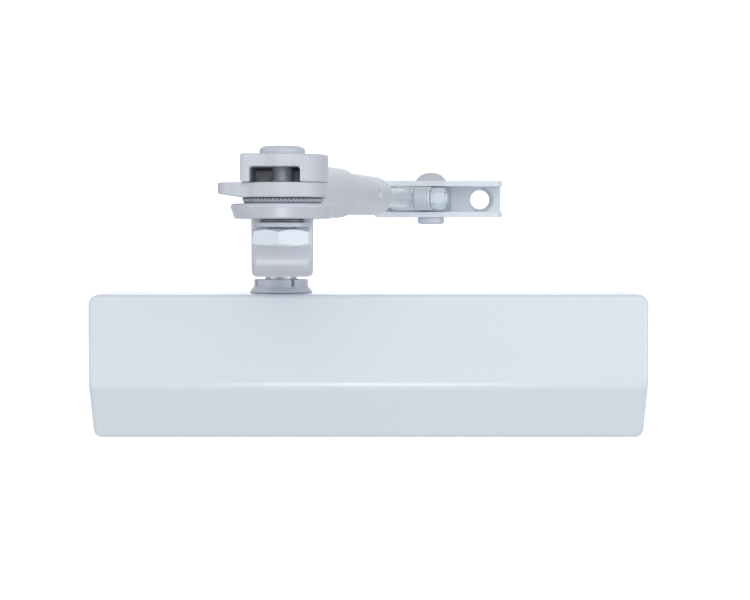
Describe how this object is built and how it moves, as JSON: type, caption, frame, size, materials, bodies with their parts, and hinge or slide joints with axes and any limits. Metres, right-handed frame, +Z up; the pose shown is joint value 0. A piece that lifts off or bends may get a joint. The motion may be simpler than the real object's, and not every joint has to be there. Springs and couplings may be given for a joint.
{
  "type": "door closer",
  "caption": "Surface-mounted hydraulic door closer: slim covered body, pinion on top, folding hold-open arm and frame bracket.",
  "frame": {"origin": "centre of the four body screw holes, on the door face", "axes": "+X along the door, to the right seen from the room; +Y into the door; +Z up, along the pinion"},
  "size_m": [0.24, 0.2295, 0.1188],
  "materials": {
    "silver_paint": "silver paint, satin, over a moulded shell",
    "arm_paint": "silver paint, satin",
    "bracket_paint": "pale silver paint, satin",
    "bare_aluminium": "as cast and machined",
    "zinc_plate": "bright zinc, bluish",
    "ground_steel": "ground",
    "spring_steel": "dark oiled",
    "bearing_bronze": "machined",
    "seal_rubber": "matte",
    "liner_nylon": "matte"
  },
  "bodies": {
    "closer_body": {"housing": "bare_aluminium", "end_cap_left": "bare_aluminium", "end_cap_right": "bare_aluminium", "end_cap_seals": "seal_rubber", "filler_plug": "zinc_plate", "upper_bearing": "bearing_bronze", "lower_bearing": "bearing_bronze", "upper_shaft_seal": "seal_rubber", "lower_shaft_seal": "seal_rubber", "pinion_cap": "arm_paint", "lower_cap": "bare_aluminium", "closing_spring": "spring_steel", "thrust_washer": "ground_steel", "adjuster_circlip": "spring_steel", "cover_clips": "spring_steel"},
    "cover_shell": {"cover": "silver_paint"},
    "main_arm_group": {"main_arm": "arm_paint", "pinion_shaft": "ground_steel", "arm_washer": "zinc_plate", "arm_screw": "zinc_plate", "elbow_stud": "arm_paint", "elbow_washer": "arm_paint", "elbow_spring_washer": "spring_steel"},
    "piston_group": {"rack_piston": "ground_steel", "check_valve_retainer": "ground_steel"},
    "check_ball": {"check_valve_ball": "ground_steel"},
    "power_screw": {"power_adjusting_screw": "zinc_plate"},
    "spring_seat_body": {"spring_seat": "ground_steel"},
    "closing_valve": {"closing_speed_valve": "bearing_bronze", "closing_valve_seal": "seal_rubber"},
    "latching_valve": {"latching_speed_valve": "bearing_bronze", "latching_valve_seal": "seal_rubber"},
    "clamp_nut": {"elbow_nut": "zinc_plate"},
    "stop_ring_body": {"stop_ring": "arm_paint"},
    "forearm_group": {"forearm": "arm_paint", "stop_plate": "arm_paint", "detent_ball": "ground_steel", "detent_spring": "spring_steel", "detent_plug": "bearing_bronze"},
    "lock_screw": {"rod_lock_screw": "zinc_plate"},
    "rod_group": {"adjusting_rod": "zinc_plate"},
    "swivel_group": {"swivel_block": "arm_paint", "eye_bolt": "zinc_plate", "eye_washers": "zinc_plate", "eye_nut": "zinc_plate"},
    "bracket_group": {"bracket": "bracket_paint", "pivot_rivet": "arm_paint", "pivot_liner": "liner_nylon"}
  },
  "joints": [
    {"name": "pinion_turn", "type": "hinge", "parent": "closer_body", "child": "main_arm_group", "pos_m": [-0.0385, -0.022, 0], "axis": [0, 0, -1], "range_deg": [0, 170], "stiffness_Nm_per_rad": 2, "springref_deg": -171.89},
    {"name": "piston_slide", "type": "slide", "parent": "closer_body", "child": "piston_group", "axis": [1, 0, 0], "range_m": [0, 0.03], "deforming": ["closing_spring"]},
    {"name": "check_ball_lift", "type": "slide", "parent": "piston_group", "child": "check_ball", "axis": [1, 0, 0], "range_m": [0, 0.0015]},
    {"name": "power_screw_turn", "type": "hinge", "parent": "closer_body", "child": "power_screw", "pos_m": [0, -0.022, 0], "axis": [1, 0, 0], "range_deg": [0, 1440]},
    {"name": "spring_seat_slide", "type": "slide", "parent": "closer_body", "child": "spring_seat_body", "axis": [-1, 0, 0], "range_m": [0, 0.006], "deforming": ["closing_spring"]},
    {"name": "closing_valve_turn", "type": "hinge", "parent": "closer_body", "child": "closing_valve", "pos_m": [-0.108, -0.005, 0.015], "axis": [-1, 0, 0], "range_deg": [-360, 360]},
    {"name": "latching_valve_turn", "type": "hinge", "parent": "closer_body", "child": "latching_valve", "pos_m": [-0.108, -0.005, -0.015], "axis": [-1, 0, 0], "range_deg": [-360, 360]},
    {"name": "cover_pull", "type": "slide", "parent": "closer_body", "child": "cover_shell", "axis": [0, -1, 0], "range_m": [0, 0.06]},
    {"name": "clamp_nut_turn", "type": "hinge", "parent": "main_arm_group", "child": "clamp_nut", "pos_m": [-0.0285, -0.212, 0.0564], "axis": [0, 0, -1], "range_deg": [0, 360]},
    {"name": "stop_ring_turn", "type": "hinge", "parent": "main_arm_group", "child": "stop_ring_body", "pos_m": [-0.0285, -0.212, 0.0688], "axis": [0, 0, -1], "range_deg": [-90, 90]},
    {"name": "elbow_turn", "type": "hinge", "parent": "main_arm_group", "child": "forearm_group", "pos_m": [-0.0285, -0.212, 0.0729], "axis": [0, 0, -1], "range_deg": [-30, 150]},
    {"name": "lock_screw_turn", "type": "hinge", "parent": "forearm_group", "child": "lock_screw", "pos_m": [-0.00283, -0.10298, 0.0729], "axis": [0.9734, -0.2292, 0], "range_deg": [0, 360]},
    {"name": "rod_slide", "type": "slide", "parent": "forearm_group", "child": "rod_group", "axis": [0.2292, 0.9734, 0], "range_m": [-0.012, 0.03]},
    {"name": "swivel_tilt", "type": "hinge", "parent": "rod_group", "child": "swivel_group", "pos_m": [0.01654, -0.02073, 0.0729], "axis": [0.9734, -0.2292, 0], "range_deg": [-6, 6]},
    {"name": "bracket_turn", "type": "hinge", "parent": "swivel_group", "child": "bracket_group", "pos_m": [0.02769, -0.01, 0.07275], "axis": [0, 0, 1], "range_deg": [-35, 45]}
  ],
  "couplings": [
    {"joint": "piston_slide", "follows": "pinion_turn", "m_per_rad": 0.0096},
    {"joint": "spring_seat_slide", "follows": "power_screw_turn", "m_per_rad": 0.00023873}
  ]
}
